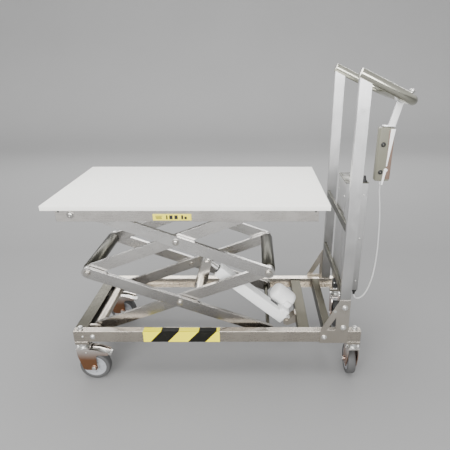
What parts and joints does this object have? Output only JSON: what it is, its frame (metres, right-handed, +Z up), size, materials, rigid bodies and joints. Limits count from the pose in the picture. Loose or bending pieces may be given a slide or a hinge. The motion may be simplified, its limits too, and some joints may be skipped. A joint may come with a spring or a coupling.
{
  "type": "scissor lift table",
  "caption": "Mobile double-scissor lift table in brushed stainless with a white board, push handle, hand control, electric actuator and braked swivel castors.",
  "frame": {"origin": "centre of the bounding box at floor level, where the wheels stand", "axes": "+X along the table towards the push handle, +Y across to the side without the hand control's cord, +Z up"},
  "size_m": [1.2803, 0.525, 1.2287],
  "materials": {
    "stainless": "brushed",
    "bright_steel": "polished",
    "board_plastic": "satin",
    "castor_tyre": "matt grey",
    "actuator_plastic": "powder coated",
    "roller_plastic": "turned plastic",
    "black_plastic": "moulded",
    "handset_plastic": "moulded",
    "button_plastic": "moulded",
    "cord_sheath": "smooth"
  },
  "bodies": {
    "base": {"base_rail_front": "stainless", "base_rail_rear": "stainless", "base_end_member": "stainless", "actuator_cross_member": "stainless", "base_cross_member": "stainless", "castor_pads": "stainless", "pivot_lugs": "stainless", "actuator_bracket": "stainless", "gusset_front": "stainless", "gusset_rear": "stainless", "gusset_bolts": "bright_steel", "upright_front": "stainless", "upright_rear": "stainless", "cross_bars": "stainless", "push_handle": "stainless", "battery_tray": "stainless", "battery_pack": "black_plastic", "battery_plug": "black_plastic", "cord_gland": "black_plastic", "socket_box": "black_plastic", "handset_hanger": "stainless", "handset_body": "handset_plastic", "handset_cord": "cord_sheath", "castor_heads": "bright_steel"},
    "lower_inner_arms": {"lower_inner_arm_front": "stainless", "lower_inner_arm_rear": "stainless", "mid_right_shaft": "stainless", "lower_centre_pins": "stainless", "lift_lever": "stainless"},
    "lower_outer_arms": {"lower_outer_arm_front": "stainless", "lower_outer_arm_rear": "stainless", "lower_roller_shaft": "stainless"},
    "upper_outer_arms": {"upper_outer_arm_front": "stainless", "upper_outer_arm_rear": "stainless"},
    "upper_inner_arms": {"upper_inner_arm_front": "stainless", "upper_inner_arm_rear": "stainless", "mid_left_shaft": "stainless", "upper_centre_pins": "stainless", "upper_roller_shaft": "stainless"},
    "table": {"table_board": "board_plastic", "table_rail_front": "stainless", "table_rail_rear": "stainless", "table_cross_members": "stainless", "table_pivot_pins": "stainless"},
    "lower_roller_set": {"lower_rollers": "roller_plastic"},
    "upper_roller_set": {"upper_rollers": "roller_plastic"},
    "actuator": {"actuator_body": "actuator_plastic"},
    "actuator_stem": {"actuator_rod": "bright_steel"},
    "button_up": {"handset_button_up": "button_plastic"},
    "button_down": {"handset_button_down": "button_plastic"},
    "castor_front_left": {"castor_fork_front_left": "stainless"},
    "wheel_front_left": {"castor_wheel_front_left": "castor_tyre"},
    "brake_front": {"brake_pedal_front": "bright_steel"},
    "castor_front_right": {"castor_fork_front_right": "stainless"},
    "wheel_front_right": {"castor_wheel_front_right": "castor_tyre"},
    "castor_rear_left": {"castor_fork_rear_left": "stainless"},
    "wheel_rear_left": {"castor_wheel_rear_left": "castor_tyre"},
    "brake_rear": {"brake_pedal_rear": "bright_steel"},
    "castor_rear_right": {"castor_fork_rear_right": "stainless"},
    "wheel_rear_right": {"castor_wheel_rear_right": "castor_tyre"}
  },
  "joints": [
    {"name": "lift", "type": "hinge", "parent": "base", "child": "lower_inner_arms", "pos_m": [-0.549, 0, 0.216], "axis": [0, -1, 0], "range_deg": [-1.5, 15]},
    {"name": "lower_centre_pivot", "type": "hinge", "parent": "lower_inner_arms", "child": "lower_outer_arms", "pos_m": [-0.19781, 0, 0.3475], "axis": [0, -1, 0], "range_deg": [-30, 3]},
    {"name": "mid_right_pivot", "type": "hinge", "parent": "lower_inner_arms", "child": "upper_outer_arms", "pos_m": [0.15338, 0, 0.479], "axis": [0, -1, 0], "range_deg": [-30, 3]},
    {"name": "upper_centre_pivot", "type": "hinge", "parent": "upper_outer_arms", "child": "upper_inner_arms", "pos_m": [-0.19781, 0, 0.6105], "axis": [0, -1, 0], "range_deg": [-3, 30]},
    {"name": "table_pivot", "type": "hinge", "parent": "upper_outer_arms", "child": "table", "pos_m": [-0.549, 0, 0.742], "axis": [0, -1, 0], "range_deg": [-1.5, 15]},
    {"name": "lower_roller_spin", "type": "hinge", "parent": "lower_outer_arms", "child": "lower_roller_set", "pos_m": [0.15338, 0, 0.216], "axis": [0, 1, 0], "continuous": true},
    {"name": "upper_roller_spin", "type": "hinge", "parent": "upper_inner_arms", "child": "upper_roller_set", "pos_m": [0.15338, 0, 0.742], "axis": [0, 1, 0], "continuous": true},
    {"name": "actuator_pivot", "type": "hinge", "parent": "base", "child": "actuator", "pos_m": [0.238, -0.075, 0.196], "axis": [0, -1, 0], "range_deg": [-4, 1]},
    {"name": "actuator_stroke", "type": "slide", "parent": "actuator", "child": "actuator_stem", "axis": [-0.7631, 0, 0.6463], "range_m": [-0.0145, 0.1355]},
    {"name": "button_up_press", "type": "slide", "parent": "base", "child": "button_up", "axis": [0, 1, 0], "range_m": [0, 0.0015], "stiffness_N_per_m": 400},
    {"name": "button_down_press", "type": "slide", "parent": "base", "child": "button_down", "axis": [0, 1, 0], "range_m": [0, 0.0015], "stiffness_N_per_m": 400},
    {"name": "castor_front_left_swivel", "type": "hinge", "parent": "base", "child": "castor_front_left", "pos_m": [-0.601, -0.203, 0.15], "axis": [0, 0, 1], "continuous": true},
    {"name": "wheel_front_left_spin", "type": "hinge", "parent": "castor_front_left", "child": "wheel_front_left", "pos_m": [-0.563, -0.203, 0.0625], "axis": [0, 1, 0], "continuous": true},
    {"name": "brake_front_press", "type": "hinge", "parent": "castor_front_left", "child": "brake_front", "pos_m": [-0.587, -0.203, 0.137], "axis": [0, 1, 0], "range_deg": [0, 12]},
    {"name": "castor_front_right_swivel", "type": "hinge", "parent": "base", "child": "castor_front_right", "pos_m": [0.5, -0.203, 0.15], "axis": [0, 0, 1], "continuous": true},
    {"name": "wheel_front_right_spin", "type": "hinge", "parent": "castor_front_right", "child": "wheel_front_right", "pos_m": [0.5, -0.165, 0.0625], "axis": [1, 0, 0], "continuous": true},
    {"name": "castor_rear_left_swivel", "type": "hinge", "parent": "base", "child": "castor_rear_left", "pos_m": [-0.601, 0.203, 0.15], "axis": [0, 0, 1], "continuous": true},
    {"name": "wheel_rear_left_spin", "type": "hinge", "parent": "castor_rear_left", "child": "wheel_rear_left", "pos_m": [-0.563, 0.203, 0.0625], "axis": [0, 1, 0], "continuous": true},
    {"name": "brake_rear_press", "type": "hinge", "parent": "castor_rear_left", "child": "brake_rear", "pos_m": [-0.587, 0.203, 0.137], "axis": [0, 1, 0], "range_deg": [0, 12]},
    {"name": "castor_rear_right_swivel", "type": "hinge", "parent": "base", "child": "castor_rear_right", "pos_m": [0.5, 0.203, 0.15], "axis": [0, 0, 1], "continuous": true},
    {"name": "wheel_rear_right_spin", "type": "hinge", "parent": "castor_rear_right", "child": "wheel_rear_right", "pos_m": [0.5, 0.165, 0.0625], "axis": [1, 0, 0], "continuous": true}
  ],
  "couplings": [
    {"joint": "lower_centre_pivot", "follows": "lift", "ratio": -2},
    {"joint": "mid_right_pivot", "follows": "lift", "ratio": -2},
    {"joint": "upper_centre_pivot", "follows": "lift", "ratio": 2},
    {"joint": "table_pivot", "follows": "lift", "ratio": 1},
    {"joint": "actuator_pivot", "follows": "lift", "ratio": -0.228},
    {"joint": "actuator_stroke", "follows": "lift", "m_per_rad": 0.5103}
  ]
}
